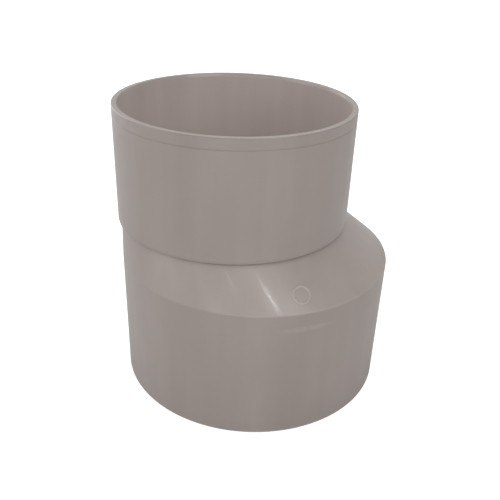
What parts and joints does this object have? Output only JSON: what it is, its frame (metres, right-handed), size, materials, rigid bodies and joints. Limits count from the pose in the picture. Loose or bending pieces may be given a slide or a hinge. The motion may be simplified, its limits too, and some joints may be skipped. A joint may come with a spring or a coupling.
{
  "type": "eccentric reducer",
  "caption": "Eccentric reducer: a plain round spigot steps through an oblique shoulder to a smaller pipe socket set off to one side, so that one side of the bore runs straight.",
  "frame": {"origin": "on the spigot's axis, in its end face, which is the lowest face; the bounding box's centre lies 0.75 mm to the -X side of it", "axes": "+Z along both bores, from the spigot end to the socket's mouth; +X from the socket's axis towards the spigot's axis, the side of the sloping shoulder; the -X side of the bores runs nearly straight through"},
  "size_m": [0.1265, 0.125, 0.131],
  "materials": {
    "taupe_pvc": "satin",
    "set_cement": "matte"
  },
  "bodies": {
    "root": {"reducer_body": "taupe_pvc", "socket_sleeve": "taupe_pvc", "cement_film": "set_cement"}
  },
  "joints": []
}
